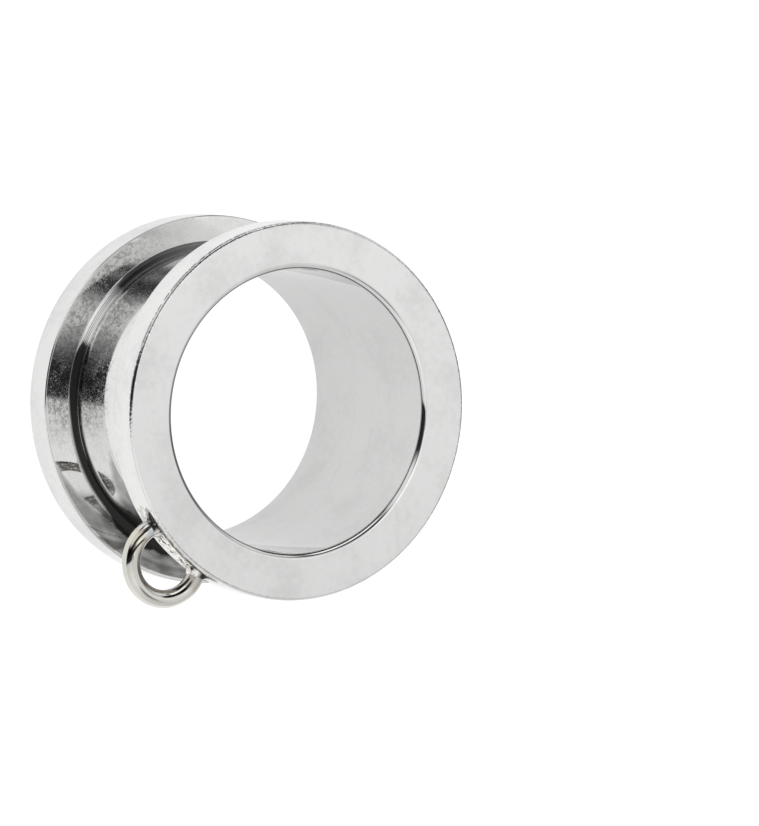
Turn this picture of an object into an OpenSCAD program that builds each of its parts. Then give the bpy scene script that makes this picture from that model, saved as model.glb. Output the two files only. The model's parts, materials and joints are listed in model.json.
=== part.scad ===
// Ear tunnel: a straight tube with a broad flat flange at each end. The back flange
// unscrews so that the tube can pass through the lobe, and a wire loop for a charm
// is soldered to the rim of the front flange. The tunnel stands on its back flange
// with its axis upright, the front face up and the loop toward -Y.

/* [Tunnel] */
// Outer diameter of the tube, where the ear lobe sits
tube_d = 16; // [12:0.5:30]
// Wall of the tube, between the lobe and the open bore
wall = 0.7; // [0.6:0.05:1.4]
// How far each flange stands out past the tube
flange_overhang = 1.75; // [1:0.05:3]
// Thickness of each flange
flange_t = 1.9; // [1.6:0.1:3]
// Length of tube showing between the two flanges
saddle_l = 7.8; // [6:0.1:16]
// Round on the outer edges of the flanges
edge_round = 0.2; // [0.05:0.05:0.4]
// Round where each face turns into the bore
mouth_round = 0.3; // [0.1:0.05:0.5]
// Hollow fillet in the corner between tube and flange
corner_fillet = 0.3; // [0.1:0.05:0.5]

/* [Screw joint] */
// Length of the back flange's neck inside the tube
neck_l = 2.2; // [1.2:0.1:3]
// Wall of the neck
neck_wall = 0.35; // [0.2:0.05:0.4]
// Clearance between the neck and the tube around it
neck_clearance = 0.05; // [0.02:0.01:0.1]
// Clearance past the tip of the neck
tip_clearance = 0.05; // [0.03:0.01:0.2]
// Hairline left where the tube's end meets the back flange
seat_clearance = 0.02; // [0.01:0.01:0.1]
// Edge broken off the tube's end and the tip of the neck
edge_break = 0.06; // [0.02:0.02:0.1]

/* [Charm loop] */
// Diameter of the loop's wire
wire_d = 0.95; // [0.7:0.05:1.1]
// Outer diameter of the loop
loop_d = 4.8; // [4:0.1:8]
// Distance from the flange's rim to the loop's centre
loop_stand = 0.65; // [0.2:0.05:0.9]
// How far round the loop each end of the wire runs on inside the flange
root_turn = 20; // [14:1:24]

/* [Solder] */
// Radius of the solder blob round each end of the wire
blob_r = 0.62; // [0.58:0.02:0.7]
// Width of the solder strip along the rim between the blobs
strip_w = 0.9; // [0.5:0.05:1.2]
// Height of that strip above the rim
strip_rise = 0.12; // [0.06:0.02:0.2]

/* [Hidden] */
$fn = 128;

tube_r = tube_d / 2;
bore_r = tube_r - wall;
rim_r = tube_r + flange_overhang;
neck_r = bore_r + neck_wall;

// Heights up the axis, from the back face at 0
shoulder_z = flange_t + corner_fillet;
tube_end_z = shoulder_z + seat_clearance;
neck_tip_z = shoulder_z + neck_l;
front_z = flange_t + saddle_l;
top_z = front_z + flange_t;
loop_z = front_z + flange_t / 2;

loop_y = -(rim_r + loop_stand);
wire_loop_r = (loop_d - wire_d) / 2;
// Angle either side of -Y at which the middle of the wire enters the rim
root_angle = acos((rim_r * rim_r + loop_y * loop_y - wire_loop_r * wire_loop_r) / (2 * rim_r * -loop_y));
// Angle round the loop, from its outermost point, at which the middle of the wire enters the rim
entry_turn = acos((rim_r * rim_r - loop_y * loop_y - wire_loop_r * wire_loop_r) / (2 * -loop_y * wire_loop_r));
half_turn = entry_turn + root_turn;
// The strip's section is a circle whose top stands strip_rise out of the rim
strip_r = (strip_w * strip_w / 4 + strip_rise * strip_rise) / (2 * strip_rise);

// Overlap that keeps a cut or a joined piece from ending on the face that it meets
spill = 0.1;

// What a round takes off an outer corner at the origin, with the metal toward -x and -y
module rounded_off(r) {
    difference() {
        translate([-r, -r]) square(r + spill);
        translate([-r, -r]) circle(r);
    }
}

// What a hollow fillet adds in an inner corner at the origin, with the metal round it at -x and -y
module filled_in(r) {
    difference() {
        translate([-spill, -spill]) square(r + spill);
        translate([r, r]) circle(r);
    }
}

// A plain ring's section from radius r0 to r1 and height z0 to z1
module section(r0, r1, z0, z1) {
    translate([r0, z0]) square([r1 - r0, z1 - z0]);
}

// Half section of the flange at the back, with its inner face up, and bare of the tube
module flange_section() {
    difference() {
        section(bore_r, rim_r, 0, flange_t);
        translate([rim_r, flange_t]) rounded_off(edge_round);
        translate([rim_r, 0]) mirror([0, 1]) rounded_off(edge_round);
        translate([bore_r, 0]) mirror([1, 0]) mirror([0, 1]) rounded_off(mouth_round);
    }
    translate([tube_r, flange_t]) filled_in(corner_fillet);
}

// Half section of the front flange and the tube below it, which is bored out for the neck
module front_section() {
    translate([0, top_z]) mirror([0, 1]) flange_section();
    difference() {
        section(bore_r, tube_r, tube_end_z, front_z + spill);
        section(0, neck_r + neck_clearance, tube_end_z - spill, neck_tip_z + tip_clearance);
        translate([tube_r, tube_end_z]) mirror([0, 1]) rounded_off(edge_break);
    }
}

// Half section of the back flange, the low shoulder that the tube seats on and the neck
module back_section() {
    flange_section();
    section(bore_r, tube_r, flange_t - spill, shoulder_z);
    difference() {
        section(bore_r, neck_r, shoulder_z - spill, neck_tip_z);
        translate([neck_r, neck_tip_z]) rounded_off(edge_break);
    }
}

// Round wire bent to a loop, its two ends let into the rim
module charm_loop() {
    translate([0, loop_y, loop_z]) rotate([0, 0, -90 - half_turn])
        rotate_extrude(angle = 2 * half_turn) translate([wire_loop_r, 0]) circle(d = wire_d);
}

// Blob of solder round each end of the wire, turned so that its poles lie off the faces it joins
module solder_blobs() {
    for (side = [-1, 1])
        rotate([0, 0, side * root_angle]) translate([0, -rim_r, loop_z])
            rotate([35, 25, 0]) sphere(r = blob_r);
}

// Low strip of solder that ran along the rim from one blob to the other
module solder_strip() {
    rotate([0, 0, -90 - root_angle]) rotate_extrude(angle = 2 * root_angle) difference() {
        translate([rim_r + strip_rise - strip_r, loop_z]) circle(strip_r);
        section(0, rim_r - strip_rise, loop_z - strip_r - spill, loop_z + strip_r + spill);
    }
}

// Tube, front flange, loop and solder, all one piece of metal
module front_tube() {
    color("gainsboro") union() {
        rotate_extrude() front_section();
        charm_loop();
        solder_blobs();
        solder_strip();
    }
}

// Back flange that unscrews, with its neck inside the tube
module screw_back() {
    color("silver") rotate_extrude() back_section();
}

front_tube();
screw_back();
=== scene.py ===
"""Dresses the screw-fit ear tunnel: turned and polished steel pieces, threads, charm loop, solder and studio."""
import json
import math
from types import SimpleNamespace

import bmesh
import bpy
from bpy.props import FloatProperty, FloatVectorProperty, IntProperty, PointerProperty
from mathutils import Matrix, Vector, noise


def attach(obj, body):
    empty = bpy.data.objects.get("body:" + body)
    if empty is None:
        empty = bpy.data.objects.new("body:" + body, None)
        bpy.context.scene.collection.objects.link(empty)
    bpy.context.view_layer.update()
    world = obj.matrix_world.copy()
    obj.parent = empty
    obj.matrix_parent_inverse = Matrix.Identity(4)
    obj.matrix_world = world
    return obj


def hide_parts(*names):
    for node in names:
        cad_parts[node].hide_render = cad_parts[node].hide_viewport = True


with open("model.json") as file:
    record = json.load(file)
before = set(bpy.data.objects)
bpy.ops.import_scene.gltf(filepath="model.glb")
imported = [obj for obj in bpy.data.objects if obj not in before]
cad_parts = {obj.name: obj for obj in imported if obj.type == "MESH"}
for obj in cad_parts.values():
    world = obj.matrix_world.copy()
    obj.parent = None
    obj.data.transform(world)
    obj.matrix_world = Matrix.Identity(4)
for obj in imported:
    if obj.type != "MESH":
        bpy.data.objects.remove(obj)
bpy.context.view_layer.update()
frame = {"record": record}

bl_info = {
    "name": "Ear Tunnel",
    "version": (1, 0, 0),
    "blender": (4, 5, 0),
    "location": "3D View > Sidebar > Ear Tunnel",
    "description": "Turned steel pieces, screw threads, charm loop, solder and studio of an ear tunnel",
    "category": "Object",
}

MM = 0.001
MOUNTS = {mount["name"]: mount for mount in frame["record"]["mounts"]}


# Sizes, finishes and studio

def length(name, description, default):
    return FloatProperty(name=name, description=description, default=default, min=0.0,
                         precision=6, unit="LENGTH", subtype="DISTANCE")


def angle(name, description, degrees):
    return FloatProperty(name=name, description=description, default=math.radians(degrees),
                         subtype="ANGLE", unit="ROTATION")


def colour(name, description, default):
    return FloatVectorProperty(name=name, description=description, default=default, size=3,
                               min=0.0, max=1.0, subtype="COLOR")


def share(name, description, default, top=1.0):
    return FloatProperty(name=name, description=description, default=default, min=0.0, max=top)


class TunnelSizes(bpy.types.PropertyGroup):
    """Sizes of the two turned pieces."""
    bore_radius: length("Bore radius", "Radius of the open bore", MOUNTS["bore"]["dims"]["r_mm"] * MM)
    tube_radius: length("Tube radius", "Outer radius of the tube", MOUNTS["lobe_saddle"]["dims"]["r_mm"] * MM)
    flange_radius: length("Flange radius", "Outer radius of both flanges", 9.75 * MM)
    flange_thickness: length("Flange thickness", "Thickness of each flange", 1.9 * MM)
    whole_length: length("Length", "From the back face to the front face", 11.6 * MM)
    edge_round: length("Edge round", "Round on the outer edges of the two faces", 0.2 * MM)
    inner_edge_round: length("Inner edge round", "Round on the edges that face the groove", 0.09 * MM)
    mouth_round: length("Mouth round", "Round where a face turns into the bore", 0.3 * MM)
    corner_fillet: length("Corner fillet", "Hollow fillet between tube and front flange", 0.28 * MM)
    ramp_width: length("Ramp width", "Width of the shallow ramp round the seat on the back flange", 0.36 * MM)
    ramp_rise: length("Ramp rise", "How far that ramp rises to the seat", 0.17 * MM)
    seat_height: length("Seat height", "Height of the joint between the two pieces", 2.2 * MM)
    seat_gap: length("Seat gap", "Hairline between the two pieces", 0.02 * MM)
    neck_height: length("Neck height", "Height of the neck's tip", 4.447 * MM)
    socket_height: length("Socket height", "Height at which the socket ends", 4.45 * MM)
    segments: IntProperty(name="Segments", description="Steps round each turned piece", default=288, min=48)


class ScrewSizes(bpy.types.PropertyGroup):
    """Sizes of the fine screw thread."""
    start: length("Start", "Height of the thread's start above the seat", 0.32 * MM)
    pitch: length("Pitch", "Height gained in one turn", 0.5 * MM)
    turns: FloatProperty(name="Turns", description="Turns of thread", default=3.4, min=0.5)
    neck_crest: length("Neck crest radius", "Outer radius of the neck's thread", 7.64 * MM)
    neck_root: length("Neck root radius", "Radius at the bottom of the neck's thread", 7.47 * MM)
    socket_crest: length("Socket crest radius", "Inner radius of the socket's thread", 7.71 * MM)
    socket_root: length("Socket root radius", "Radius at the bottom of the socket's thread", 7.86 * MM)
    foot_width: length("Foot width", "Width of the ridge at its foot", 0.44 * MM)
    crest_width: length("Crest width", "Width of the ridge at its crest", 0.07 * MM)


class LoopSizes(bpy.types.PropertyGroup):
    """Sizes of the wire loop and its solder."""
    wire_radius: length("Wire radius", "Radius of the loop's wire", 0.475 * MM)
    loop_radius: length("Loop radius", "Radius of the loop at the wire's middle", 1.925 * MM)
    stand: length("Stand", "Distance from the rim to the loop's centre", 0.65 * MM)
    height: length("Height", "Height of the loop above the back face", 10.65 * MM)
    root_turn: angle("Root turn", "How far the wire runs on inside the flange", 20.0)
    waviness: length("Waviness", "How far the hand-bent wire strays from a true ring", 0.012 * MM)
    collar_height: length("Collar height", "Height to which solder climbs the wire", 0.33 * MM)
    collar_reach: length("Collar reach", "Radius of the solder collar on the rim", 0.72 * MM)
    film_height: length("Film height", "Height of the solder film between the ends", 0.075 * MM)
    film_width: length("Film width", "Half width of the solder film", 0.47 * MM)


class TunnelFinish(bpy.types.PropertyGroup):
    """Colours and polish."""
    steel: colour("Steel", "Colour of the polished steel", (0.80, 0.80, 0.795))
    wire: colour("Wire", "Colour of the loop's wire", (0.72, 0.71, 0.66))
    solder: colour("Solder", "Colour of the solder", (0.64, 0.63, 0.61))
    # Dark colour of the painted shade in the groove's corner and of the painted reflection streaks on the wire,
    # also laid on the solder
    painted_dark: colour("Painted dark", "Dark painted as shade in the groove's corner, as reflection streaks on the loop and on the solder", (0.035, 0.034, 0.033))
    # Colour of the painted dark reflection beside the loop and of the painted shade under the loop's wire
    film: colour("Painted dark reflection", "Colour of the painted dark reflection beside the loop and of the painted shade under the loop's wire", (0.105, 0.104, 0.10))
    scale: colour("Scale", "Heat scale inside the loop", (0.20, 0.17, 0.14))
    dull: colour("Dull film", "Dull film on the loop's second end", (0.50, 0.49, 0.46))
    straw: colour("Straw tint", "Palest heat tint", (0.70, 0.60, 0.44))
    brown: colour("Brown tint", "Middle heat tint", (0.36, 0.26, 0.22))
    blue: colour("Blue tint", "Strongest heat tint", (0.42, 0.50, 0.62))


class StudioSettings(bpy.types.PropertyGroup):
    """Camera, floor and light."""
    camera_azimuth: angle("Camera azimuth", "Direction of the camera, from -Y towards +X", 305.882)
    camera_elevation: angle("Camera elevation", "Height of the camera above the floor", 60.016)
    camera_roll: angle("Camera roll", "Turn of the camera about its own axis", 97.514)
    camera_distance: length("Camera distance", "From the aim point to the camera", 283.869 * MM)
    camera_aim: FloatVectorProperty(name="Aim point", description="Point in the middle of the picture", size=3,
                                    default=(8.946 * MM, 7.036 * MM, 0.0), subtype="TRANSLATION", unit="LENGTH")
    camera_lens: FloatProperty(name="Lens", description="Focal length in mm on a 36 mm sensor", default=228.41)
    floor: colour("Floor", "Colour of the floor", (0.45, 0.45, 0.45))
    floor_size: length("Floor size", "Side of the square floor", 3.0)
    floor_glow: share("Floor glow", "Light that shines through the floor from below", 0.68)
    light: share("Light", "Brightness of the white studio", 1.0, 4.0)
    overhead: share("Overhead light", "Strength of the soft light straight above", 0.3, 8.0)
    overhead_spread: angle("Overhead spread", "Width of that light", 40.0)


# The white room's walls and the grey and black cards in front of them, as rings one above the other: azimuth in
# degrees from +X towards +Y, and brightness
BASE_WALL = (
    (10, 0.70), (30, 0.40), (45, 0.15), (60, 0.20), (75, 0.80), (84, 0.80), (90, 0.04), (160, 0.04), (166, 0.80),
    (190, 0.90), (202, 0.02), (230, 0.02), (236, 0.80), (270, 0.90), (345, 0.70))
LOW_WALL = (
    (10, 0.70), (30, 0.40), (45, 0.15), (60, 0.20), (75, 0.80), (98, 0.90), (101, 0.30), (106, 0.30), (110, 1.20),
    (150, 1.20), (155, 0.60), (170, 0.90), (190, 0.90), (202, 0.02), (230, 0.02), (232.5, 0.80), (270, 0.90),
    (345, 0.70))
MIDDLE_WALL = (
    (10, 0.80), (35, 0.90), (60, 0.60), (76, 0.65), (96, 0.03), (148, 0.03), (158, 0.85), (192, 0.85),
    (200, 0.03), (230, 0.03), (232.5, 0.85), (270, 1.0), (300, 0.80), (340, 0.60))
UPPER_WALL = (
    (28, 0.80), (44, 1.0), (76, 0.80), (100, 0.65), (106, 0.15), (112, 0.12), (118, 0.25), (126, 0.06), (138, 0.10),
    (150, 0.75), (168, 0.80), (190, 0.20), (204, 0.03), (230, 0.03), (232.5, 0.95), (282, 1.10), (307, 1.0),
    (316, 0.55), (334, 0.20), (350, 0.20), (357, 0.60))
TOP_WALL = ((45, 0.90), (62, 1.20), (166, 1.20), (178, 0.35), (226, 0.30), (234, 0.85))
CEILING = ((200, 1.10), (214, 0.35), (300, 0.40), (320, 0.90))
WALLS = ((12.0, 17.0, LOW_WALL), (34.0, 40.0, MIDDLE_WALL), (51.0, 57.0, UPPER_WALL), (66.0, 71.0, TOP_WALL),
         (80.0, 86.0, CEILING))


# Short ways to place nodes

class Value:
    """What a node gives out. Reckoning with it places Math nodes."""

    def __init__(self, graph, socket):
        self.graph = graph
        self.socket = socket

    def __add__(self, other):
        return self.graph.math("ADD", self, other)

    def __radd__(self, other):
        return self.graph.math("ADD", other, self)

    def __sub__(self, other):
        return self.graph.math("SUBTRACT", self, other)

    def __rsub__(self, other):
        return self.graph.math("SUBTRACT", other, self)

    def __mul__(self, other):
        return self.graph.math("MULTIPLY", self, other)

    def __truediv__(self, other):
        return self.graph.math("DIVIDE", self, other)

    def __gt__(self, other):
        return self.graph.math("GREATER_THAN", self, other)

    def __lt__(self, other):
        return self.graph.math("LESS_THAN", self, other)

    def __abs__(self):
        return self.graph.math("ABSOLUTE", self)


class Node:
    """A placed node, whose outputs are read by name."""

    def __init__(self, graph, node):
        self.graph = graph
        self.node = node

    def __getitem__(self, name):
        return Value(self.graph, self.node.outputs[name])


class Graph:
    """Places and links the nodes of one tree."""

    def __init__(self, tree):
        self.tree = tree

    def feed(self, socket, value):
        if isinstance(value, Value):
            self.tree.links.new(value.socket, socket)
        else:
            socket.default_value = value

    def add(self, kind, inputs=None, **settings):
        node = self.tree.nodes.new(kind)
        for name, value in settings.items():
            setattr(node, name, value)
        for name, value in (inputs or {}).items():
            self.feed(node.inputs[name], value)
        return Node(self, node)

    def group(self, tree, inputs):
        return self.add("ShaderNodeGroup", inputs, node_tree=tree)

    def give(self, outputs):
        """Feeds the outputs of a node group, which ends its tree."""
        self.add("NodeGroupOutput", outputs)
        return self.tree

    def reckon(self, kind, operation, values):
        node = self.tree.nodes.new(kind)
        node.operation = operation
        for socket, value in zip(node.inputs, values):
            self.feed(socket, value)
        return Node(self, node)

    def math(self, operation, *values):
        return self.reckon("ShaderNodeMath", operation, values)["Value"]

    def vector(self, operation, *values):
        node = self.reckon("ShaderNodeVectorMath", operation, values)
        return node["Value" if operation == "DISTANCE" else "Vector"]

    def split(self, vector):
        node = self.add("ShaderNodeSeparateXYZ", {"Vector": vector})
        return node["X"], node["Y"], node["Z"]

    def join(self, x=0.0, y=0.0, z=0.0):
        return self.add("ShaderNodeCombineXYZ", {"X": x, "Y": y, "Z": z})["Vector"]

    def radius(self, x, y):
        return self.math("SQRT", x * x + y * y)

    def turn(self, x, y):
        """How far round the Z axis, as a share of a full turn from +X towards +Y."""
        return self.math("FRACT", self.math("ARCTAN2", y, x) / math.tau + 1.0)

    def step(self, value, low, high, start=0.0, end=1.0):
        """A smooth step from start to end as value goes from low to high."""
        return self.add("ShaderNodeMapRange", {"Value": value, "From Min": low, "From Max": high,
                                               "To Min": start, "To Max": end},
                        interpolation_type="SMOOTHSTEP")["Result"]

    def stretch(self, value, limits, before=0.0, after=0.0):
        """1 between the two middle limits, smoothly down to before and after at the outer ones."""
        first, whole, last, end = limits
        return self.step(value, first, whole, before, 1.0) * self.step(value, end, last, after, 1.0)

    def mix(self, factor, first, second):
        """A number between first and second."""
        return self.add("ShaderNodeMix", {"Factor": factor, "A": first, "B": second})["Result"]

    def blend(self, factor, first, second):
        """A colour between first and second."""
        node = self.add("ShaderNodeMix", {"Factor": factor}, data_type="RGBA").node
        ends = [socket for socket in node.inputs if socket.type == "RGBA"]
        for socket, value in zip(ends, (first, second)):
            self.feed(socket, value)
        return Value(self, next(socket for socket in node.outputs if socket.type == "RGBA"))

    def coats(self, base, *coats):
        """A colour with others laid over it in turn, each as thick as its mask says."""
        for mask, coat in coats:
            base = self.blend(mask, base, coat)
        return base

    def speckle(self, vector, scale, detail=2.0, roughness=0.5):
        return self.add("ShaderNodeTexNoise", {"Vector": vector, "Scale": scale, "Detail": detail,
                                               "Roughness": roughness})["Fac"]

    def cells(self, vector, scale):
        """Distance from the middle of the nearest of many scattered spots."""
        return self.add("ShaderNodeTexVoronoi", {"Vector": vector, "Scale": scale})["Distance"]


FLOAT, VECTOR, COLOR = "NodeSocketFloat", "NodeSocketVector", "NodeSocketColor"
INTEGER, GEOMETRY, MATERIAL = "NodeSocketInt", "NodeSocketGeometry", "NodeSocketMaterial"


def built_once(name):
    """Names a node group and builds it the first time it is asked for."""
    def named(build):
        def fetch():
            return bpy.data.node_groups.get(name) or build(name)
        return fetch
    return named


def new_tree(name, kind, inputs, outputs):
    """A node group with named sockets. Returns its graph and its input node."""
    tree = bpy.data.node_groups.new(name, kind)
    for label, socket_type, default in inputs:
        socket = tree.interface.new_socket(label, in_out="INPUT", socket_type=socket_type)
        if default is not None:
            socket.default_value = default
    for label, socket_type in outputs:
        tree.interface.new_socket(label, in_out="OUTPUT", socket_type=socket_type)
    graph = Graph(tree)
    return graph, graph.add("NodeGroupInput")


# Shader groups that several finishes share

# Directions of the hairlines, as turns about X, Y and Z in radians
HAIR_TURNS = ((0.3, 0.2, 0.4), (1.2, 0.5, 1.4), (0.7, 1.3, 2.3), (2.1, 0.9, 0.1), (1.7, 2.2, 1.0))


@built_once("Hairline scratches")
def hairlines_group(name):
    """Fine scratches that run in several directions."""
    g, given = new_tree(name, "ShaderNodeTree",
                        [("Vector", VECTOR, None), ("Fineness", FLOAT, 10.0), ("Sparseness", FLOAT, 0.6),
                         ("Shortness", FLOAT, 0.06)],
                        [("Height", FLOAT)])
    whole = given["Sparseness"] + 0.14
    drawn_out = g.join(given["Shortness"], 1.0, 1.0)
    height = 0.0
    for turn in HAIR_TURNS:
        turned = g.add("ShaderNodeMapping", {
            "Vector": given["Vector"], "Rotation": turn, "Scale": drawn_out,
            "Location": (turn[2] * 31.0, turn[0] * 17.0, turn[1] * 23.0)})
        height += g.step(g.speckle(turned["Vector"], given["Fineness"], 1.0), given["Sparseness"], whole)
    return g.give({"Height": height})


@built_once("Polishing marks")
def polish_group(name):
    """What polishing leaves: slow ripple, hairlines and small pits. Heights are in micrometres, and Place
    is the place on the piece in millimetres."""
    g, given = new_tree(name, "ShaderNodeTree",
                        [("Ripple", FLOAT, 0.5), ("Scratches", FLOAT, 0.2), ("Pits", FLOAT, 0.5),
                         ("Dullness", FLOAT, 0.05)],
                        [("Height", FLOAT), ("Roughness", FLOAT), ("Place", VECTOR)])
    place = g.vector("MULTIPLY", g.add("ShaderNodeTexCoord")["Object"], (1.0 / MM,) * 3)
    ripple = g.speckle(place, 0.9, 1.0) * given["Ripple"]
    hairs = g.group(hairlines_group(), {"Vector": place})["Height"]
    pits = g.step(g.cells(place, 2.6), 0.03, 0.09, 1.0, 0.0) * given["Pits"]
    dull = g.speckle(place, 0.5, 3.0) * 1.2 + hairs * 0.35
    return g.give({"Height": ripple - hairs * given["Scratches"] - pits,
                   "Roughness": dull * given["Dullness"], "Place": place})


# Where the groove's marks keep to, in millimetres: the tube's radius, the middle of a flange's inner face, the
# height that parts the back flange from the tube, and the height halfway between the two faces
TUBE = MOUNTS["lobe_saddle"]["dims"]["r_mm"]
MID_FLANGE = 8.9
TUBE_FOOT = 2.05
HALFWAY = 5.8

# Stretches round the tunnel, in degrees from +X towards +Y: where each begins, is whole, is last whole and ends
TUMBLED = (150.0, 172.0, 226.0, 240.0)
SATIN = (70.0, 95.0, 150.0, 168.0)
# The painted dark reflection lines on the faces' edges keep to this stretch
EDGE_LINES_STRETCH = (148.0, 156.0, 216.0, 226.0)


def tumbling_marks(g, given, at):
    """Flecks and blotches low on the tube. Returns the flecks, the worn colour and the height."""
    fine = g.speckle(at.place, given["Fleck scale"], 3.0, 0.6)
    amount = fine + (g.speckle(at.place, 1.2, 2.0) - 0.5) * 0.4
    amount += g.step(at.turn, 165.0, 205.0, -0.05, 0.03) * (at.radius < TUBE + 0.1)
    hairs = g.group(hairlines_group(), {"Vector": at.place, "Fineness": 13.0, "Sparseness": 0.70,
                                        "Shortness": 0.2})["Height"]
    tumbled = g.stretch(at.turn + at.wander * 50.0, TUMBLED, 0.06, 0.12)
    tumbled *= g.step(at.off_ramp, 0.25, 0.32)
    tumbled *= g.step(at.z + at.wander * 7.0, 5.9, 4.0, 0.1, 1.0)
    flecks = g.math("MINIMUM", g.step(amount, 0.50, 0.76) + hairs * 0.6, 1.0) * tumbled
    blotches = g.step(g.speckle(at.place, 5.5, 3.0, 0.65), 0.46, 0.58)
    return flecks, g.math("MAXIMUM", blotches * tumbled * 0.55, flecks * 0.5), (fine - 0.5) * 0.5 * tumbled


def painted_reflection_beside_loop(g, given, at):
    """Painted dark reflection beside the loop, in two strengths on the back flange and once more up the tube."""
    loopward = given["Loop towards"]
    outer = at.radius - MID_FLANGE
    past_loop = at.turn + outer * 3.0 + at.wander * 14.0 - loopward
    on_flange = g.step(past_loop + outer * 20.0, -15.0, -6.0, 0.0, 0.68) + g.step(past_loop, -2.0, 7.0, 0.0, 0.27)
    on_flange *= g.step(at.turn, 330.0, 312.0)
    streaks = g.speckle(g.join(at.turn * 0.11, at.radius * 1.6), 1.0, 2.0)
    on_flange *= g.step(streaks, 0.3, 0.72, 1.0, 0.62)
    on_flange *= at.z < TUBE_FOOT
    climbed = at.turn - (at.z - 3.4) * 4.0 + at.wander * 14.0
    on_tube = g.step(climbed, loopward - 7.0, loopward + 2.0)
    on_tube *= g.step(at.turn + at.wander * 60.0, 326.0, 290.0)
    on_tube *= g.step(at.z + at.wander * 4.0, 8.6, 6.6)
    return on_flange + on_tube * ((at.z > TUBE_FOOT) * (at.radius < TUBE + 0.2))


def corner_shade(g, given, at):
    """Painted shade along the corner, thin on the far side, left out in one stretch but for two painted dark lines,
    and widest beside the loop. Returns it and the height of the turned rings there."""
    loopward = given["Loop towards"]
    covered = given["Ramp"] * g.step(at.aside, 10.0, 18.0, -0.1, 1.0)
    from_corner = g.math("MAXIMUM", at.climbing, at.outward - covered)
    before_end = g.step(at.turn, 320.0, 285.0)
    nearness = before_end * g.step(at.turn, loopward - 10.0, loopward + 4.0)
    climb = before_end * g.step(at.turn, loopward - 32.0, loopward - 8.0) * (0.75 + at.wander * 2.4)
    width = given["Corner width"] + nearness * (0.30 + at.wander * 2.0)
    width += (at.up > at.outward) * (climb + nearness * 0.7)
    softness = g.step(at.across, -0.05, 0.05, g.step(at.turn, 214.0, 232.0, 0.8, 0.35), 0.4)
    # Painted shade in the corner of the groove, widest beside the loop
    painted_dark = g.step(from_corner, width, width * g.math("MAXIMUM", softness, nearness * 0.82))
    ridges = g.math("SINE", at.across * math.tau / given["Corner pitch"])
    thin = g.step(abs(at.across), 0.07, 0.2) * (1.0 - nearness) * g.step(at.turn, 206.0, 198.0)
    thin = thin * g.step(ridges, -0.4, 0.7, 0.0, 0.26) + g.step(at.turn, 170.0, 135.0, 0.0, 0.3)
    painted_dark *= 1.0 - g.math("MINIMUM", thin, 1.0)
    half = given["Clear half width"]
    shade_kept = g.step(at.aside + at.wander * 8.0, half, half + 2.5)
    left = g.step(ridges, -0.1, -0.7) * g.step(abs(at.across), 0.19, 0.15) * 0.8 * (1.0 - shade_kept)
    return painted_dark * shade_kept + left, ridges * g.step(at.off_ramp, 0.26, 0.2, 0.0, 1.6)


def edge_marks(g, at):
    """Nicks, and two thin broken dark lines painted as reflections on each face's outer edge. Returns the nicks'
    height and the lines.
    """
    from_halfway = abs(at.z - HALFWAY)
    edge = g.step(at.radius, 9.5, 9.58) * g.step(from_halfway, 5.56, 5.62)
    dents = g.speckle(at.place, 5.0, 3.0, 0.6)
    nicks = (dents - 0.5) * g.step(at.turn, 196.0, 206.0, 24.0, 13.0)
    upper = g.step(abs(from_halfway - 5.776), 0.02, 0.011) * g.step(dents, 0.36, 0.42)
    lower = g.step(abs(from_halfway - 5.69), 0.042, 0.024) * g.step(dents, 0.58, 0.52)
    return nicks * edge, g.math("MAXIMUM", upper, lower) * g.stretch(at.turn, EDGE_LINES_STRETCH) * edge * 0.9


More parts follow.
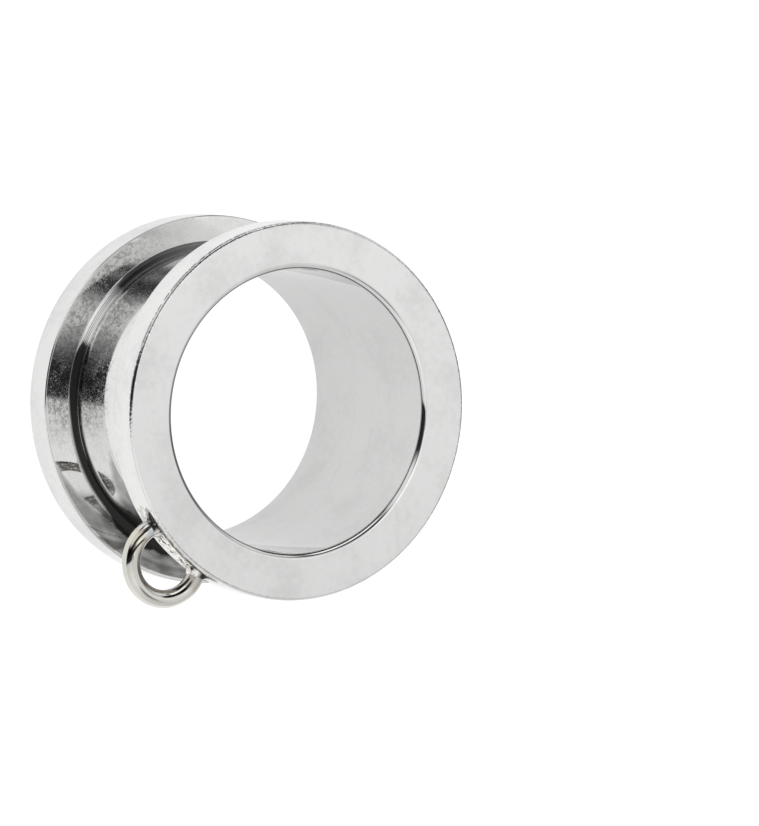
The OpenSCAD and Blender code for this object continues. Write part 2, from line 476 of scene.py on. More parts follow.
@built_once("Groove marks")
def groove_group(name):
    """Surface between the flanges: tumbling marks, a satin stretch, turned lines under the front flange, painted
    shade in the corner and a painted dark reflection beside the loop. Also the painted shade in the bore, and the
    nicks and the painted dark reflection lines on the faces' outer edges. Directions are in degrees, and heights in
    micrometres."""
    g, given = new_tree(name, "ShaderNodeTree",
                        [("Place", VECTOR, None), ("Low", FLOAT, 1.88), ("High", FLOAT, 9.72),
                         ("Inside", FLOAT, 7.9), ("Outside", FLOAT, 9.62), ("Fleck scale", FLOAT, 11.0),
                         ("Line pitch", FLOAT, 0.1), ("Line depth", FLOAT, 0.8), ("Line reach", FLOAT, 1.1),
                         ("Corner width", FLOAT, 0.29), ("Ramp", FLOAT, 0.13), ("Corner pitch", FLOAT, 0.11),
                         ("Clear towards", FLOAT, 189.0), ("Clear half width", FLOAT, 11.0),
                         ("Loop towards", FLOAT, 272.0), ("Bore", FLOAT, 7.42)],
                        [("Height", FLOAT), ("Flecks", FLOAT), ("Corner shade", FLOAT), ("Bore", FLOAT),
                         ("Film", FLOAT), ("Wear and edge reflections", FLOAT), ("Satin", FLOAT)])
    x, y, z = g.split(given["Place"])
    at = SimpleNamespace(place=given["Place"], z=z, radius=g.radius(x, y), turn=g.turn(x, y) * 360.0)
    at.wander = (g.speckle(at.place, 1.5, 3.0) - 0.5) * 0.35
    at.aside = abs(at.turn - given["Clear towards"])
    at.up = z - (given["Low"] + 0.02)
    at.outward = at.radius - TUBE
    at.across = at.up - at.outward
    at.climbing = at.up * 0.7
    at.off_ramp = g.math("MAXIMUM", at.climbing, at.outward - given["Ramp"])
    rim = g.step(at.radius, given["Outside"], given["Outside"] - 0.1)
    groove = (z > given["Low"]) * (z < given["High"]) * ((at.radius > given["Inside"]) * rim)

    flecks, groove_marks, ground = tumbling_marks(g, given, at)
    painted_dark, rings = corner_shade(g, given, at)
    # Nicks, and painted dark reflection lines on the faces' edges, which are laid on with the wear
    nicks, edge_reflection_lines = edge_marks(g, at)
    fade = g.step(z, given["High"] - given["Line reach"], given["High"])
    lines = g.math("SINE", z * math.tau / given["Line pitch"]) * fade * given["Line depth"]
    # Painted shade in the bore, darkest towards 200 degrees
    bore = g.step(at.radius, given["Bore"], given["Bore"] - 0.1)
    shade = g.math("COSINE", g.math("RADIANS", at.turn - 200.0))
    return g.give({"Height": (ground + rings + lines) * groove + nicks, "Flecks": flecks * groove,
                   "Wear and edge reflections": groove_marks * groove + edge_reflection_lines, "Satin": g.stretch(at.turn, SATIN) * groove,
                   "Corner shade": painted_dark * groove, "Film": painted_reflection_beside_loop(g, given, at) * groove,
                   "Bore": bore * (0.62 + shade * 0.30)})


# Heat tints from the joint outwards: where each begins, is strongest and ends, in mm, and how strong it is
TINTS = (("Straw", 0.6, 1.1, 2.4, 0.30), ("Brown", 0.75, 0.95, 1.2, 0.22), ("Blue", 0.25, 0.6, 0.9, 0.32))


@built_once("Heat tint")
def heat_group(name):
    """Heat tint round the two soldered ends of the loop, stronger at the first."""
    g, given = new_tree(name, "ShaderNodeTree",
                        [("Place", VECTOR, None), ("Metal", COLOR, None), ("Straw", COLOR, None),
                         ("Brown", COLOR, None), ("Blue", COLOR, None), ("First joint", VECTOR, None),
                         ("Second joint", VECTOR, None), ("Amount", FLOAT, 1.0)],
                        [("Color", COLOR)])
    wander = (g.speckle(given["Place"], 1.6, 2.0) - 0.5) * 0.9
    first, second = (g.vector("DISTANCE", given["Place"], given[joint]) + wander
                     for joint in ("First joint", "Second joint"))
    near = g.math("MINIMUM", first, second * 1.6)
    bands = [(g.stretch(near, (begin, middle, middle, end)) * strength * given["Amount"], given[tint])
             for tint, begin, middle, end, strength in TINTS]
    return g.give({"Color": g.coats(given["Metal"], *bands)})


# Painted dark reflection streaks on the loop's wire, in degrees: from and to round the loop, where each lies round
# the wire at those two, and half its width
REFLECTION_STREAKS = ((-102.0, -54.0, 74.0, 44.0, 6.5), (-88.0, -57.0, 100.0, 60.0, 6.0),
                 (34.0, 96.0, 108.0, 121.0, 6.5), (58.0, 100.0, 156.0, 146.0, 9.0))


@built_once("Wire scale and shade")
def wire_scale_and_shade_group(name):
    """What heat leaves on the loop: scale inside the ring and a dull film at the second end. Also painted dark
    reflection streaks on the wire and painted shade in patches underneath."""
    g, given = new_tree(name, "ShaderNodeTree",
                        [("Place", VECTOR, None), ("Centre", VECTOR, None), ("Loop radius", FLOAT, 1.925)],
                        [("Scale", FLOAT), ("Reflection streak", FLOAT), ("Film", FLOAT), ("Underside shade", FLOAT)])
    place = given["Place"]
    x, y, z = g.split(g.vector("SUBTRACT", place, given["Centre"]))
    along = g.math("DEGREES", g.math("ARCTAN2", x, y * -1.0))
    around = g.math("DEGREES", g.math("ARCTAN2", z, g.radius(x, y) - given["Loop radius"]))
    wander = (g.speckle(place, 3.0, 3.0) - 0.5) * 22.0
    start = g.step(along, 5.0, 40.0, 112.0, 134.0)
    scale = g.step(around + wander - start, 0.0, 12.0) * g.step(around, 178.0, 160.0)
    # Painted dark reflection streaks along the wire
    reflection_streak = 0.0
    for begin, end, first, last, half in REFLECTION_STREAKS:
        middle = g.add("ShaderNodeMapRange", {"Value": along, "From Min": begin, "From Max": end,
                                              "To Min": first, "To Max": last}, clamp=False)["Result"]
        line = g.step(abs(around + wander * 0.3 - middle), half + 2.5, half - 2.5)
        line *= g.stretch(along, (begin - 5.0, begin + 5.0, end - 5.0, end + 5.0))
        reflection_streak = g.math("MAXIMUM", reflection_streak, line)
    return g.give({"Scale": scale * g.stretch(along, (-84.0, -62.0, 70.0, 92.0)), "Reflection streak": reflection_streak,
                   "Film": g.step(along + wander, 76.0, 90.0),
                   "Underside shade": g.step(z, -0.08, -0.26) * g.step(g.speckle(place, 7.0, 2.0), 0.36, 0.46)})


# Finishes

def joints_mm(loop, sizes):
    """Where the two ends of the wire enter the rim, in millimetres."""
    centre = sizes.flange_radius + loop.stand
    turn = math.acos((sizes.flange_radius ** 2 + centre ** 2 - loop.loop_radius ** 2)
                     / (2.0 * sizes.flange_radius * centre))
    reach = sizes.flange_radius / MM
    return [Vector((side * reach * math.sin(turn), -reach * math.cos(turn), loop.height / MM))
            for side in (-1.0, 1.0)]


def rgba(values, times=1.0):
    return (*(min(1.0, value * times) for value in values), 1.0)


def metal(name, base, roughness, marks, groove=None, heat=0.0, scaled_and_shaded=False, sooty_and_shaded=False):
    """A polished metal. marks are ripple, scratches, pits and dullness, groove holds the values of the groove
    marks, heat is the strength of the tint, the next flag adds the wire's heat scale with painted shade underneath
    and painted dark reflection streaks, and the last adds the solder's soot with its painted shade."""
    scene = bpy.context.scene
    finish, loop, sizes = scene.tunnel_finish, scene.tunnel_loop, scene.tunnel_sizes
    material = bpy.data.materials.new(name)
    material.use_nodes = True
    g = Graph(material.node_tree)
    polish = g.group(polish_group(), dict(zip(("Ripple", "Scratches", "Pits", "Dullness"), marks)))
    place, height, rough = polish["Place"], polish["Height"], polish["Roughness"] + roughness
    cloud = g.speckle(place, 0.35, 2.0)
    mottle = g.step(cloud + g.speckle(place, 2.4, 4.0, 0.6) * 0.6, 0.66, 1.1)
    specks = g.step(g.cells(place, 4.5), 0.16, 0.02) * g.step(cloud, 0.45, 0.65, 0.0, 0.22)
    paint = g.coats(rgba(base, 1.015), (mottle, rgba(base, 0.90)), (specks, rgba(base, 0.3)))
    if groove is not None:
        groove_marks = g.group(groove_group(), {"Place": place, **groove})
        height += groove_marks["Height"]
        rough = rough + groove_marks["Flecks"] * 0.45 + groove_marks["Corner shade"] * 0.35 + groove_marks["Satin"] * 0.1
        # In turn: painted shade in the bore, the wear with painted dark reflection lines on the edges, the painted
        # dark reflection beside the loop, and the painted shade in the corner
        paint = g.coats(paint, (groove_marks["Bore"], rgba(base, 0.66)), (groove_marks["Wear and edge reflections"], rgba(base, 0.3)),
                        (groove_marks["Film"], rgba(finish.film)), (groove_marks["Corner shade"], rgba(finish.painted_dark)))
    if heat > 0.0:
        first, second = joints_mm(loop, sizes)
        paint = g.group(heat_group(), {
            "Place": place, "Metal": paint, "Straw": rgba(finish.straw), "Brown": rgba(finish.brown),
            "Blue": rgba(finish.blue), "First joint": first, "Second joint": second,
            "Amount": heat})["Color"]
    if scaled_and_shaded:
        scale = g.group(wire_scale_and_shade_group(), {
            "Place": place, "Loop radius": loop.loop_radius / MM,
            "Centre": (0.0, -(sizes.flange_radius + loop.stand) / MM, loop.height / MM)})
        # Heat scale, dull film, painted shade underneath and painted dark reflection streaks on the wire
        paint = g.coats(paint, (scale["Scale"] * 0.85, rgba(finish.scale)),
                        (scale["Film"] * 0.6, rgba(finish.dull)), (scale["Underside shade"] * 0.9, rgba(finish.film)),
                        (scale["Reflection streak"], rgba(finish.painted_dark)))
        rough += scale["Film"] * 0.25
    if sooty_and_shaded:
        # Soot on the solder, with painted shade at the collars and along the rim's edge
        soot_and_shade = g.add("ShaderNodeAttribute", attribute_name="soot_and_shade")["Fac"]
        bright = g.step(g.speckle(place, 3.2, 3.0), 0.42, 0.60)
        paint = g.coats(paint, (bright, rgba(base, 1.4)), (soot_and_shade, rgba(finish.painted_dark)))
        rough += soot_and_shade * 0.2
    bump = g.add("ShaderNodeBump", {"Strength": 1.0, "Distance": 0.001 * MM, "Height": height})
    shader = material.node_tree.nodes["Principled BSDF"]
    for name, value in (("Metallic", 1.0), ("Base Color", paint), ("Roughness", rough),
                        ("Normal", bump["Normal"])):
        g.feed(shader.inputs[name], value)


# Meshes

def outline(corners, support=0.015 * MM, step=math.radians(8.0)):
    """A turned piece's closed half section. Each corner is its radius, height and round."""
    places = [Vector((r, z)) for r, z, _ in corners]
    reaches = []
    for i, (_, _, rounding) in enumerate(corners):
        back = places[i - 1] - places[i]
        ahead = places[(i + 1) % len(places)] - places[i]
        reaches.append(rounding / math.tan(back.angle(ahead) / 2.0))
    points = []
    for i, (_, _, rounding) in enumerate(corners):
        follows = (i + 1) % len(places)
        back = places[i - 1] - places[i]
        ahead = places[follows] - places[i]
        runs = (back.length - reaches[i] - reaches[i - 1], ahead.length - reaches[i] - reaches[follows])
        back.normalize()
        ahead.normalize()
        half = back.angle(ahead) / 2.0
        centre = places[i] + (back + ahead).normalized() * (rounding / math.sin(half))
        first, last = places[i] + back * reaches[i], places[i] + ahead * reaches[i]
        points.append(first + back * min(support, rounding, runs[0] / 3.0))
        sweep = math.pi - 2.0 * half
        steps = max(3, math.ceil(sweep / step))
        start, spread = first - centre, last - centre
        for k in range(steps + 1):
            part = k / steps
            mixed = start * math.sin((1.0 - part) * sweep) + spread * math.sin(part * sweep)
            points.append(centre + mixed / math.sin(sweep))
        points.append(last + ahead * min(support, rounding, runs[1] / 3.0))
    return points


def plain(holder, body, replaced):
    """Turns a piece's modifiers into a plain mesh with outward faces, and puts it on its body."""
    evaluated = holder.evaluated_get(bpy.context.evaluated_depsgraph_get())
    mesh = bpy.data.meshes.new_from_object(evaluated)
    mesh.name = holder.name
    holder.modifiers.clear()
    holder.data = mesh
    work = bmesh.new()
    work.from_mesh(mesh)
    bmesh.ops.remove_doubles(work, verts=work.verts, dist=1e-6 * MM)
    bmesh.ops.recalc_face_normals(work, faces=work.faces)
    if work.calc_volume(signed=True) < 0.0:
        bmesh.ops.reverse_faces(work, faces=work.faces)
    for face in work.faces:
        face.smooth = True
    work.to_mesh(mesh)
    work.free()
    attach(holder, body)
    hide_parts(replaced)


def plain_front(holder):
    plain(holder, "front", "front_tube")


def plain_back(holder):
    plain(holder, "back", "screw_back")


def new_object(name, vertices=(), edges=(), faces=()):
    mesh = bpy.data.meshes.new(name)
    mesh.from_pydata(vertices, edges, faces)
    holder = bpy.data.objects.new(name, mesh)
    bpy.context.scene.collection.objects.link(holder)
    return holder


def grow(holder, tree, finish, values):
    """Gives an object a Geometry Nodes modifier and sets its named inputs."""
    modifier = holder.modifiers.new("Shape", "NODES")
    modifier.node_group = tree
    identifiers = {item.name: item.identifier for item in tree.interface.items_tree
                   if item.in_out == "INPUT"}
    for label, value in {**values, "Finish": bpy.data.materials[finish]}.items():
        modifier[identifiers[label]] = value
    return holder


def new_shape_tree(name, inputs):
    return new_tree(name, "GeometryNodeTree",
                    [("Geometry", GEOMETRY, None), *inputs, ("Finish", MATERIAL, None)],
                    [("Geometry", GEOMETRY)])


def give_shape(g, given, mesh):
    """Ends a shape's tree with smooth shading, real geometry and the finish."""
    smooth = g.add("GeometryNodeSetShadeSmooth", {"Geometry": mesh})
    real = g.add("GeometryNodeRealizeInstances", {"Geometry": smooth["Geometry"]})
    painted = g.add("GeometryNodeSetMaterial", {"Geometry": real["Geometry"], "Material": given["Finish"]})
    return g.give({"Geometry": painted["Geometry"]})


@built_once("Turned piece")
def turning_tree(name):
    """Turns a half section, drawn in the XZ plane, about the Z axis."""
    g, given = new_shape_tree(name, [("Segments", INTEGER, 288), ("Rail radius", FLOAT, 0.008)])
    line = g.add("GeometryNodeMeshToCurve", {"Mesh": given["Geometry"]})
    x, _, z = g.split(g.add("GeometryNodeInputPosition")["Position"])
    profile = g.add("GeometryNodeSetPosition", {
        "Geometry": line["Curve"], "Position": g.join(x - given["Rail radius"], z * -1.0)})
    rail = g.add("GeometryNodeCurvePrimitiveCircle", {"Resolution": given["Segments"],
                                                      "Radius": given["Rail radius"]})
    swept = g.add("GeometryNodeCurveToMesh", {"Curve": rail["Curve"], "Profile Curve": profile["Geometry"]})
    return give_shape(g, given, swept["Mesh"])


@built_once("Screw thread")
def thread_tree(name):
    """A screw thread's ridge that runs out at both ends. A negative depth points to the axis."""
    g, given = new_shape_tree(name, [
        ("Root radius", FLOAT, 0.0075), ("Depth", FLOAT, 0.0002), ("Pitch", FLOAT, 0.0005),
        ("Turns", FLOAT, 4.0), ("Start height", FLOAT, 0.0), ("Foot width", FLOAT, 0.0004),
        ("Crest width", FLOAT, 0.0001), ("Steps a turn", INTEGER, 180), ("Run-out", FLOAT, 0.08)])
    helix = g.add("GeometryNodeCurveSpiral", {
        "Resolution": given["Steps a turn"], "Rotations": given["Turns"], "Start Radius": given["Root radius"],
        "End Radius": given["Root radius"], "Height": given["Pitch"] * given["Turns"]})
    upright = g.add("GeometryNodeSetCurveNormal", {"Curve": helix["Curve"]}, mode="Z_UP")
    placed = g.add("GeometryNodeSetPosition", {"Geometry": upright["Curve"],
                                               "Offset": g.join(z=given["Start height"])})
    below, depth = given["Depth"] * -0.25, given["Depth"]
    foot, crest = given["Foot width"] * 0.5, given["Crest width"] * 0.5
    corners = ((below, foot, 1.0), (below, foot, -1.0), (depth, crest, -1.0), (depth, crest, 1.0))
    ridge = g.add("GeometryNodeCurvePrimitiveQuadrilateral",
                  {f"Point {k}": g.join(out * -1.0, half * side) for k, (out, half, side) in enumerate(corners, 1)},
                  mode="POINTS")
    along = g.add("GeometryNodeSplineParameter")["Factor"]
    swell = g.step(g.math("MINIMUM", along, 1.0 - along), 0.0, given["Run-out"], 0.12, 1.0)
    swept = g.add("GeometryNodeCurveToMesh", {"Curve": placed["Geometry"], "Profile Curve": ridge["Curve"],
                                              "Scale": swell, "Fill Caps": True})
    return give_shape(g, given, swept["Mesh"])


@built_once("Bent wire")
def wire_tree(name):
    """Round wire bent to part of a ring in the XY plane, open towards +Y."""
    g, given = new_shape_tree(name, [
        ("Wire radius", FLOAT, 0.0005), ("Loop radius", FLOAT, 0.002), ("Half turn", FLOAT, 2.3),
        ("Centre", VECTOR, None), ("Waviness", FLOAT, 0.0), ("Wave scale", FLOAT, 900.0),
        ("Seed", FLOAT, 3.0), ("Steps", INTEGER, 220), ("Sides", INTEGER, 56)])
    arc = g.add("GeometryNodeCurveArc", {
        "Resolution": given["Steps"], "Radius": given["Loop radius"],
        "Start Angle": -math.pi / 2.0 - given["Half turn"], "Sweep Angle": given["Half turn"] * 2.0})
    section = g.add("GeometryNodeCurvePrimitiveCircle", {"Resolution": given["Sides"],
                                                         "Radius": given["Wire radius"]})
    swept = g.add("GeometryNodeCurveToMesh", {"Curve": arc["Curve"], "Profile Curve": section["Curve"],
                                              "Fill Caps": True})
    wave = g.add("ShaderNodeTexNoise", noise_dimensions="4D", inputs={
        "Vector": g.add("GeometryNodeInputPosition")["Position"], "W": given["Seed"],
        "Scale": given["Wave scale"], "Detail": 1.0})["Fac"]
    push = g.add("ShaderNodeVectorMath", operation="SCALE", inputs={
        "Vector": g.add("GeometryNodeInputNormal")["Normal"], "Scale": (wave - 0.5) * given["Waviness"]})
    wavy = g.add("GeometryNodeSetPosition", {"Geometry": swept["Mesh"], "Offset": push["Vector"]})
    moved = g.add("GeometryNodeTransform", {"Geometry": wavy["Geometry"], "Translation": given["Centre"]})
    return give_shape(g, given, moved["Geometry"])


def turned(name, corners, finish, sizes):
    """A turned piece's object, with its Geometry Nodes modifier."""
    points = outline(corners)
    count = len(points)
    holder = new_object(name, [(p.x, 0.0, p.y) for p in points], [(i, (i + 1) % count) for i in range(count)])
    return grow(holder, turning_tree(), finish, {"Segments": sizes.segments,
                                                 "Rail radius": sizes.tube_radius})


# Pieces

class TUNNEL_OT_finishes(bpy.types.Operator):
    """Make the metals"""
    bl_idname = "tunnel.finishes"
    bl_label = "Finishes"

    def execute(self, context):
        finish = context.scene.tunnel_finish
        for name in ("polished_front", "polished_back"):
            metal(name, finish.steel, 0.012, (0.3, 0.03, 0.2, 0.02), groove={"Fleck scale": 11.0})
        metal("thread_steel", finish.steel, 0.12, (0.4, 0.3, 0.2, 0.1))
        metal("loop_wire", finish.wire, 0.04, (1.2, 0.12, 0.3, 0.05), heat=1.0, scaled_and_shaded=True)
        metal("solder", finish.solder, 0.06, (1.5, 0.2, 0.8, 0.08), heat=0.4, sooty_and_shaded=True)
        return {"FINISHED"}


# Rounds of the corners in and at the joint
SHARP = 0.001 * MM
SEAT_EDGE = 0.012 * MM
INNER_CORNER = 0.03 * MM
BROKEN_EDGE = 0.04 * MM
TUBE_END = 0.05 * MM
RAMP_TOP = 0.14 * MM
RAMP_FOOT = 0.25 * MM


class TUNNEL_OT_front_piece(bpy.types.Operator):
    """Turn the tube and its front flange"""
    bl_idname = "tunnel.front_piece"
    bl_label = "Front piece"

    def execute(self, context):
        s, screw = context.scene.tunnel_sizes, context.scene.tunnel_screw
        top, under = s.whole_length, s.whole_length - s.flange_thickness
        seat = s.seat_height + s.seat_gap
        plain_front(turned("front_flange_and_tube", [
            (s.bore_radius, top, s.mouth_round),
            (s.flange_radius, top, s.edge_round),
            (s.flange_radius, under, s.inner_edge_round),
            (s.tube_radius, under, s.corner_fillet),
            (s.tube_radius, seat, TUBE_END),
            (screw.socket_root, seat, BROKEN_EDGE),
            (screw.socket_root, s.socket_height, INNER_CORNER),
            (s.bore_radius, s.socket_height, SHARP),
        ], "polished_front", s))
        return {"FINISHED"}


class TUNNEL_OT_back_piece(bpy.types.Operator):
    """Turn the back flange and its neck"""
    bl_idname = "tunnel.back_piece"
    bl_label = "Back piece"

    def execute(self, context):
        s, screw = context.scene.tunnel_sizes, context.scene.tunnel_screw
        plain_back(turned("back_flange_and_neck", [
            (s.bore_radius, 0.0, s.mouth_round),
            (s.bore_radius, s.neck_height, SHARP),
            (screw.neck_root, s.neck_height, BROKEN_EDGE),
            (screw.neck_root, s.seat_height, INNER_CORNER),
            (s.tube_radius, s.seat_height, SEAT_EDGE),
            (s.tube_radius, s.flange_thickness + s.ramp_rise, RAMP_TOP),
            (s.tube_radius + s.ramp_width, s.flange_thickness, RAMP_FOOT),
            (s.flange_radius, s.flange_thickness, s.inner_edge_round),
            (s.flange_radius, 0.0, s.edge_round),
        ], "polished_back", s))
        return {"FINISHED"}


class TUNNEL_OT_threads(bpy.types.Operator):
    """Cut the thread on the neck and in the socket"""
    bl_idname = "tunnel.threads"
    bl_label = "Threads"

    def execute(self, context):
        s, screw = context.scene.tunnel_sizes, context.scene.tunnel_screw
        for name, root, crest, finish_piece in (
                ("neck_thread", screw.neck_root, screw.neck_crest, plain_back),
                ("socket_thread", screw.socket_root, screw.socket_crest, plain_front)):
            finish_piece(grow(new_object(name), thread_tree(), "thread_steel", {
                "Pitch": screw.pitch, "Turns": screw.turns, "Start height": s.seat_height + screw.start,
                "Foot width": screw.foot_width, "Crest width": screw.crest_width,
                "Root radius": root, "Depth": crest - root}))
        return {"FINISHED"}


class TUNNEL_OT_charm_loop(bpy.types.Operator):
    """Bend the wire of the charm loop"""
    bl_idname = "tunnel.charm_loop"
    bl_label = "Charm loop"

    def execute(self, context):
        s, loop = context.scene.tunnel_sizes, context.scene.tunnel_loop
        centre = s.flange_radius + loop.stand
        entry = math.acos((s.flange_radius ** 2 - centre ** 2 - loop.loop_radius ** 2)
                          / (2.0 * centre * loop.loop_radius))
        plain_front(grow(new_object("charm_loop"), wire_tree(), "loop_wire", {
            "Wire radius": loop.wire_radius - loop.waviness * 0.6, "Loop radius": loop.loop_radius,
            "Half turn": entry + loop.root_turn, "Centre": (0.0, -centre, loop.height),
            "Waviness": loop.waviness}))
        return {"FINISHED"}


def clipped(value):
    return min(1.0, max(0.0, value))


class TUNNEL_OT_solder(bpy.types.Operator):
    """Run solder round the ends of the loop and along the rim between them"""
    bl_idname = "tunnel.solder"
    bl_label = "Solder"

    # The sheet of solder is a grid bent round the rim. Its size past the second end, half its height and how
    # deep its border and its underside lie in the rim are in millimetres
    columns, rows = 340, 84
    past_end, half_height = 1.3, 0.93
    border_depth, underside = 0.06, 0.3

    # Burnt drips past the second end: distance past it, height on the rim, half length and half width, in mm
    drips = ((0.42, 0.58, 0.55, 0.25), (0.90, -0.74, 0.42, 0.15))

    def height(self, x, y, loop, root):
        """Height of the solder above the rim and how dark it is, from soot and from painted shade, at x along the
        rim and y up it. The wire's ends are at root to either side. All are in millimetres."""
        spot = Vector((x, y, 0.0))
        ragged = noise.noise(spot * 2.2 + Vector((5.0, 1.0, 0.0)))
        ripple = noise.noise(spot * 4.5 + Vector((0.0, 9.0, 2.0)))
        lumps = noise.voronoi(spot * Vector((2.2, 3.4, 1.0)) + Vector((3.0, 7.0, 1.0)))[0]
        crumple = 0.07 * (min(1.0, (lumps[1] - lumps[0]) * 1.6) - 0.55) + 0.02 * ripple
        film = loop.film_height / MM * (1.0 + 0.5 * ripple) + crumple
        inside = root - abs(x)

        # Film between the ends, with a dark crack along it
        half_width = loop.film_width / MM * (1.0 + 0.28 * ragged)
        edge = min(half_width - abs(y), inside + 0.35 * (1.0 + ragged))
        from_crack = (y - 0.12 - 0.22 * noise.noise(Vector((x * 0.9, 3.0, 8.0)))
                      - 0.09 * noise.noise(Vector((x * 4.0, 1.0, 5.0))))
        crack = max(0.0, 1.0 - abs(from_crack) / (0.06 + 0.05 * ragged))
        crack *= clipped(inside + 0.2) * clipped(1.1 - x)
        level = max(film * clipped(edge / 0.16) - 0.06 * crack, min(0.012, 0.04 * crack))
        soot_and_shade = min(1.0, 1.8 * crack)

        # Collar that climbs the wire at each end, with painted shade in its hollow and at its foot
        reach = loop.collar_reach / MM * (1.0 + 0.22 * ragged)
        for end in (-root, root):
            part = (reach - math.hypot(x - end, y)) / (reach - loop.wire_radius / MM + 0.04)
            if part > 0.0:
                climb = loop.collar_height / MM * min(1.0, part) ** 1.7
                level = max(level, climb + film * 0.3 + crumple * 0.6)
                hollow = 3.0 * max(0.0, 0.62 - part) * part
                soot_and_shade = max(soot_and_shade, min(1.0, hollow * (0.6 + 3.0 * ripple) * (1.0 + 2.0 * y)))
            foot = max(0.0, 1.0 - abs(part) / 0.13)
            soot_and_shade = max(soot_and_shade, foot * clipped(0.5 + 2.0 * ragged + 0.9 * y))

        # Tongue past the first end
        tongue = 0.19 - math.hypot((x + root + 0.55) * 0.5, y - 0.45) * 0.62
        level = max(level, tongue + 0.04 * ripple - 0.02)
        soot_and_shade = max(soot_and_shade, min(1.0, 0.45 + 2.2 * abs(ripple)) * clipped((tongue + 0.03) / 0.05))

        # Painted shade: a dark line along the face's edge of the rim
        line = max(0.0, 1.0 - abs(y - 0.69 - 0.05 * ragged) / 0.11) * clipped((1.1 + inside) / 0.4)
        level = max(level, 0.03 * min(1.0, 2.0 * line) - 0.004)
        soot_and_shade = max(soot_and_shade, min(1.0, 2.4 * line) * min(1.0, 0.95 + 0.5 * ripple))

        for past, high, long, wide in self.drips:
            drip = 1.0 - math.hypot((x - root - past) / long, (y - high - 0.03 * ripple) / wide)
            level = max(level, 0.035 * drip)
            soot_and_shade = max(soot_and_shade, clipped(2.0 * drip + 0.3))
        return level, min(1.0, soot_and_shade)

    def execute(self, context):
        s, loop = context.scene.tunnel_sizes, context.scene.tunnel_loop
        second = joints_mm(loop, s)[1]
        root = s.flange_radius * math.atan2(second.x, -second.y)
        wide, tall = root + self.past_end * MM, self.half_height * MM
        columns, rows = self.columns, self.rows
        vertices, soots_and_shades = [], []
        for outer in (True, False):
            for i in range(columns + 1):
                along = wide * (2.0 * i / columns - 1.0)
                turn = along / s.flange_radius
                for j in range(rows + 1):
                    up = tall * (2.0 * j / rows - 1.0)
                    rise, soot_and_shade = self.height(along / MM, up / MM, loop, root / MM)
                    if i in (0, columns) or j in (0, rows):
                        rise = -self.border_depth
                    into_round = max(0.0, abs(up) - (s.flange_thickness / 2.0 - s.edge_round))
                    drop = s.edge_round - math.sqrt(max(0.0, s.edge_round ** 2 - into_round ** 2))
                    radius = s.flange_radius + (rise * MM - drop if outer else -self.underside * MM)
                    vertices.append((radius * math.sin(turn), -radius * math.cos(turn), loop.height + up))
                    soots_and_shades.append(soot_and_shade)
        piece = new_object("solder", vertices, (), self.faces())
        piece.data.attributes.new("soot_and_shade", "FLOAT", "POINT").data.foreach_set("value", soots_and_shades)
        piece.data.materials.append(bpy.data.materials["solder"])
        plain_front(piece)
        return {"FINISHED"}

    def faces(self):
        """Faces of the outer sheet, the same again for the underside, and a wall round the border."""
        columns, rows = self.columns, self.rows
        stride, under = rows + 1, (columns + 1) * (rows + 1)
        faces = []
        for i in range(columns):
            for j in range(rows):
                a = i * stride + j
                corners = (a, a + stride, a + stride + 1, a + 1)
                faces.append(corners)
                faces.append(tuple(under + corner for corner in reversed(corners)))
        border = [i * stride for i in range(columns + 1)]
        border += [columns * stride + j for j in range(1, rows + 1)]
        border += [i * stride + rows for i in range(columns - 1, -1, -1)]
        border += range(rows - 1, 0, -1)
        for a, b in zip(border, border[1:] + border[:1]):
            faces.append((a, under + a, under + b, b))
        return faces


# Stage

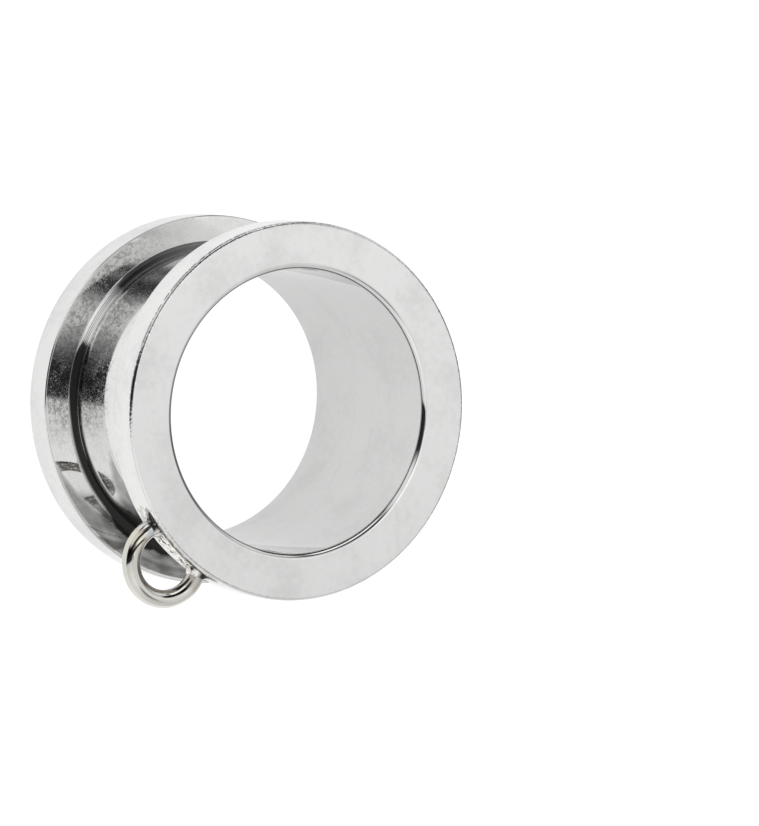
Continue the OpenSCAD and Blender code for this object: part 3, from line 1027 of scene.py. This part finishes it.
class TUNNEL_OT_studio(bpy.types.Operator):
    """Set the floor, the light and the camera"""
    bl_idname = "tunnel.studio"
    bl_label = "Studio"

    def execute(self, context):
        studio = context.scene.tunnel_studio
        context.scene.view_settings.view_transform = "Standard"
        self.floor(studio)
        self.light(context.scene, studio)
        self.camera(context.scene, studio)
        return {"FINISHED"}

    def floor(self, studio):
        half = studio.floor_size / 2.0
        corners = ((-half, -half, 0.0), (half, -half, 0.0), (half, half, 0.0), (-half, half, 0.0))
        floor = new_object("floor", corners, (), [(0, 1, 2, 3)])
        material = bpy.data.materials.new("pale_floor")
        material.use_nodes = True
        g = Graph(material.node_tree)
        seen = g.add("ShaderNodeLightPath")["Is Camera Ray"]
        shader = material.node_tree.nodes["Principled BSDF"]
        for name, value in (("Base Color", rgba(studio.floor)), ("Roughness", 0.9), ("Specular IOR Level", 0.0),
                            ("Emission Color", (1.0, 1.0, 1.0, 1.0)),
                            ("Emission Strength", studio.floor_glow + seen * 0.2)):
            g.feed(shader.inputs[name], value)
        floor.data.materials.append(material)

    def light(self, scene, studio):
        """A white room with dark cards round it, and a soft light above that the metal does not mirror."""
        world = bpy.data.worlds.new("Studio")
        world.use_nodes = True
        scene.world = world
        world.node_tree.nodes.clear()
        g = Graph(world.node_tree)
        x, y, z = g.split(g.vector("NORMALIZE", g.add("ShaderNodeTexCoord")["Generated"]))
        high = g.math("DEGREES", g.math("ARCSINE", z))
        turn = g.turn(x, y)
        level = self.ring(g, turn, BASE_WALL)
        for start, whole, levels in WALLS:
            level = g.mix(g.step(high, start, whole), level, self.ring(g, turn, levels))
        back = g.add("ShaderNodeBackground", {"Color": (1.0, 1.0, 1.0, 1.0), "Strength": level * studio.light})
        g.add("ShaderNodeOutputWorld", {"Surface": back["Background"]})
        lamp = bpy.data.lights.new("overhead", "SUN")
        lamp.energy, lamp.angle = studio.overhead, studio.overhead_spread
        overhead = bpy.data.objects.new("overhead", lamp)
        overhead.visible_glossy = False
        scene.collection.objects.link(overhead)

    def ring(self, g, turn, levels):
        """Light levels round the horizon, each given at its azimuth in degrees."""
        placed = g.add("ShaderNodeValToRGB", {"Fac": turn})
        elements = placed.node.color_ramp.elements
        ends = ((0.0, levels[0][1]), *levels, (360.0, levels[0][1]))
        while len(elements) < len(ends):
            elements.new(0.5)
        for element, (azimuth, level) in zip(elements, ends):
            element.position = azimuth / 360.0
            element.color = (level, level, level, 1.0)
        return placed["Color"]

    def camera(self, scene, studio):
        data = bpy.data.cameras.new("Camera")
        data.sensor_width = 36.0
        data.lens = studio.camera_lens
        data.clip_start, data.clip_end = 0.01, 20.0
        data.dof.use_dof = False
        camera = bpy.data.objects.new("Camera", data)
        scene.collection.objects.link(camera)
        azimuth, elevation, roll = studio.camera_azimuth, studio.camera_elevation, studio.camera_roll
        back = Vector((math.sin(azimuth) * math.cos(elevation), -math.cos(azimuth) * math.cos(elevation),
                       math.sin(elevation)))
        camera.location = Vector(studio.camera_aim) + back * studio.camera_distance
        level_right = Vector((0.0, 0.0, 1.0)).cross(back).normalized()
        right = level_right * math.cos(roll) + back.cross(level_right) * math.sin(roll)
        camera.rotation_euler = Matrix((right, back.cross(right), back)).transposed().to_euler()
        scene.camera = camera


class TUNNEL_PT_panel(bpy.types.Panel):
    """Lists the steps and their sizes"""
    bl_idname = "TUNNEL_PT_panel"
    bl_label = "Ear Tunnel"
    bl_space_type = "VIEW_3D"
    bl_region_type = "UI"
    bl_category = "Ear Tunnel"

    def draw(self, context):
        for step in STEPS:
            self.layout.operator(step.bl_idname)
        for pointer, group in SETTINGS.items():
            box = self.layout.box()
            for name in group.__annotations__:
                box.prop(getattr(context.scene, pointer), name)


SETTINGS = {"tunnel_sizes": TunnelSizes, "tunnel_screw": ScrewSizes, "tunnel_loop": LoopSizes,
            "tunnel_finish": TunnelFinish, "tunnel_studio": StudioSettings}
STEPS = (TUNNEL_OT_finishes, TUNNEL_OT_front_piece, TUNNEL_OT_back_piece, TUNNEL_OT_threads,
         TUNNEL_OT_charm_loop, TUNNEL_OT_solder, TUNNEL_OT_studio)


def register():
    for made in (*SETTINGS.values(), *STEPS, TUNNEL_PT_panel):
        bpy.utils.register_class(made)
    for pointer, group in SETTINGS.items():
        setattr(bpy.types.Scene, pointer, PointerProperty(type=group))


def unregister():
    for pointer in SETTINGS:
        delattr(bpy.types.Scene, pointer)
    for made in reversed((*SETTINGS.values(), *STEPS, TUNNEL_PT_panel)):
        bpy.utils.unregister_class(made)


def main():
    register()
    bpy.ops.tunnel.finishes()
    bpy.ops.tunnel.front_piece()
    bpy.ops.tunnel.back_piece()
    bpy.ops.tunnel.threads()
    bpy.ops.tunnel.charm_loop()
    bpy.ops.tunnel.solder()
    bpy.ops.tunnel.studio()


if __name__ == "__main__":
    main()
